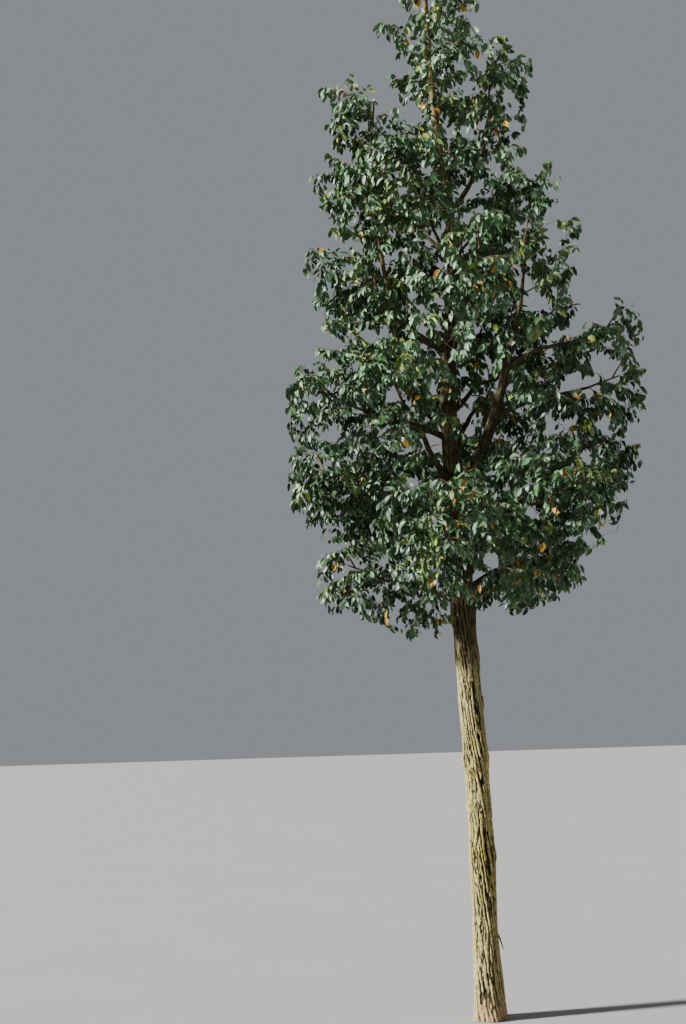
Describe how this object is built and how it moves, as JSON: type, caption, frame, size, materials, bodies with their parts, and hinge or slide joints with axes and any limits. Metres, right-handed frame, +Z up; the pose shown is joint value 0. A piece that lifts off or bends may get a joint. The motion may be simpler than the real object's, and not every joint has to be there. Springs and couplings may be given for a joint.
{
  "type": "field elm tree",
  "caption": "Young nursery elm with a corky trunk, rising boughs and a loosely conical crown of small dark green leaves.",
  "frame": {"origin": "centre of the flat cut under the trunk, at ground level", "axes": "+Z up along the trunk, +X to the right and +Y to the back as the tree is seen from its front"},
  "size_m": [2.3122, 2.1573, 8],
  "materials": {
    "trunk_bark": "corky bark with deep upright fissures, grey-tan with yellow-green lichen",
    "bough_bark": "rough grey-brown bark, tan where lit",
    "foliage": "small dark green leaves with a grey-green sheen on dark twigs, a few yellow"
  },
  "bodies": {
    "root": {"bough_back_1": "bough_bark", "bough_back_2": "bough_bark", "bough_back_3": "bough_bark", "bough_back_4": "bough_bark", "bough_back_5": "bough_bark", "bough_back_6": "bough_bark", "bough_back_7": "bough_bark", "bough_front_low": "bough_bark", "bough_front_middle": "bough_bark", "bough_front_upper": "bough_bark", "bough_left_front": "bough_bark", "bough_left_level": "bough_bark", "bough_left_long": "bough_bark", "bough_left_low": "bough_bark", "bough_left_rising": "bough_bark", "bough_left_tall": "bough_bark", "bough_left_tall_foot": "bough_bark", "bough_right_front": "bough_bark", "bough_right_inner": "bough_bark", "bough_right_long": "bough_bark", "bough_right_low": "bough_bark", "bough_right_main": "bough_bark", "bough_right_middle": "bough_bark", "bough_right_shelf": "bough_bark", "bough_right_upper": "bough_bark", "foliage_back_1": "foliage", "foliage_back_2": "foliage", "foliage_back_3": "foliage", "foliage_back_4": "foliage", "foliage_back_5": "foliage", "foliage_back_6": "foliage", "foliage_back_7": "foliage", "foliage_front_low": "foliage", "foliage_front_middle": "foliage", "foliage_front_upper": "foliage", "foliage_left_front": "foliage", "foliage_left_level": "foliage", "foliage_left_long": "foliage", "foliage_left_low": "foliage", "foliage_left_rising": "foliage", "foliage_left_tall": "foliage", "foliage_right_front": "foliage", "foliage_right_inner": "foliage", "foliage_right_long": "foliage", "foliage_right_low": "foliage", "foliage_right_main": "foliage", "foliage_right_middle": "foliage", "foliage_right_shelf": "foliage", "foliage_right_upper": "foliage", "foliage_spire_1": "foliage", "foliage_spire_10": "foliage", "foliage_spire_2": "foliage", "foliage_spire_3": "foliage", "foliage_spire_4": "foliage", "foliage_spire_5": "foliage", "foliage_spire_6": "foliage", "foliage_spire_7": "foliage", "foliage_spire_8": "foliage", "foliage_spire_9": "foliage", "trunk": "trunk_bark"}
  },
  "joints": []
}
